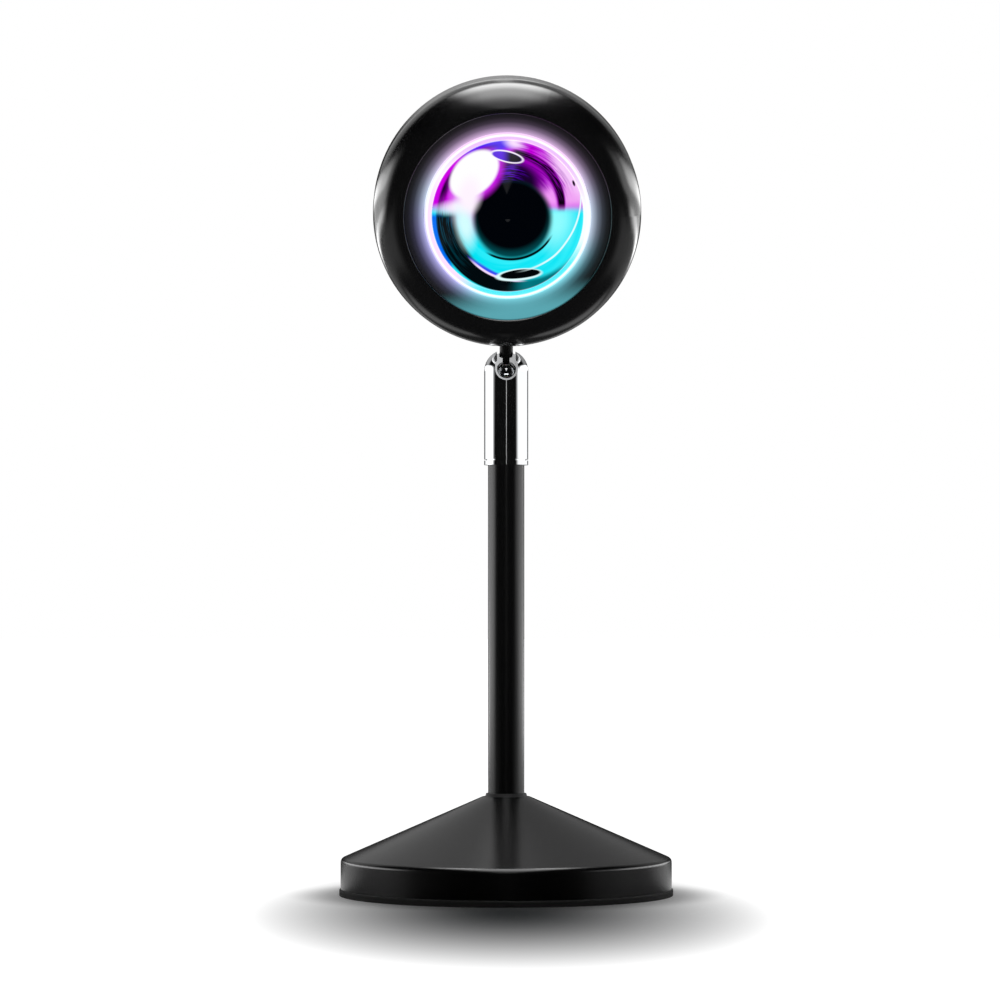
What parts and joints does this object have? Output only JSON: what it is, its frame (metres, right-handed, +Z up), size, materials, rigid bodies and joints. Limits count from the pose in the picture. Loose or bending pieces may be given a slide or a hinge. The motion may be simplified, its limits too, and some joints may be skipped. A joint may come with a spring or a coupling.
{
  "type": "sunset projection lamp",
  "caption": "Desk projection lamp: a round head with a domed lens on a ball joint, a slim stem and a weighted cone base.",
  "frame": {"origin": "centre of the base's underside, on the stem's axis", "axes": "+Z up along the stem, -Y towards the side the lens faces at rest, +X to that side's right"},
  "size_m": [0.1002, 0.1002, 0.2442],
  "materials": {
    "foot_foam": "matt foam",
    "black_enamel": "satin black",
    "cast_iron": "as cast",
    "plated_steel": "zinc plated",
    "black_plastic": "fine texture",
    "brass": "turned",
    "polished_chrome": "mirror",
    "nylon": "natural",
    "black_oxide": "black oxide",
    "white_silicone": "frosted, lit from within",
    "lens_glass": "polished, lit from behind",
    "black_rubber": "smooth",
    "filter_glass": "colour coated",
    "bright_aluminium": "bright",
    "board_white": "white solder resist",
    "led_phosphor": "phosphor",
    "plain_aluminium": "as extruded",
    "board_green": "green solder resist",
    "wire_red": "insulation",
    "wire_black": "insulation"
  },
  "bodies": {
    "stand": {"foot_pad": "foot_foam", "base_shell": "black_enamel", "base_weight": "cast_iron", "base_washer": "plated_steel", "base_bolt": "plated_steel", "stem_collar": "black_plastic", "stem_tube": "black_enamel", "stem_lower_insert": "brass", "stem_upper_insert": "brass", "socket_stud": "plated_steel", "socket_collar": "polished_chrome", "socket_plug": "brass", "socket_tube": "polished_chrome", "seat_spring": "plated_steel", "ball_seat": "nylon"},
    "neck": {"ball": "polished_chrome", "neck_stud": "black_oxide", "stud_washer": "plated_steel", "stud_nut": "plated_steel"},
    "head": {"rear_housing": "black_enamel", "swivel_bush": "nylon", "front_bezel": "black_enamel", "inner_ring": "black_plastic", "lens_edge_ring": "white_silicone", "lens": "lens_glass", "lens_gasket": "black_rubber", "lens_carrier": "black_plastic", "carrier_screws": "plated_steel", "colour_filter": "filter_glass", "reflector": "bright_aluminium", "led_board": "board_white", "led_chips": "led_phosphor", "led_board_screws": "plated_steel", "heat_sink": "plain_aluminium", "heat_sink_screws": "plated_steel", "driver_board": "board_green", "driver_parts": "black_plastic", "driver_posts": "nylon", "vent_grille": "black_plastic", "grille_screws": "black_oxide", "inlet_shell": "plated_steel", "inlet_tongue": "black_plastic", "inlet_board": "board_green", "led_wires": "wire_red", "inlet_wires": "wire_black"}
  },
  "joints": [
    {"name": "ball_tilt", "type": "hinge", "parent": "stand", "child": "neck", "pos_m": [0, 0, 0.1571], "axis": [1, 0, 0], "range_deg": [-19, 77]},
    {"name": "head_turn", "type": "hinge", "parent": "neck", "child": "head", "pos_m": [0, 0, 0.1571], "axis": [0, -0.225, 0.9744], "continuous": true}
  ]
}
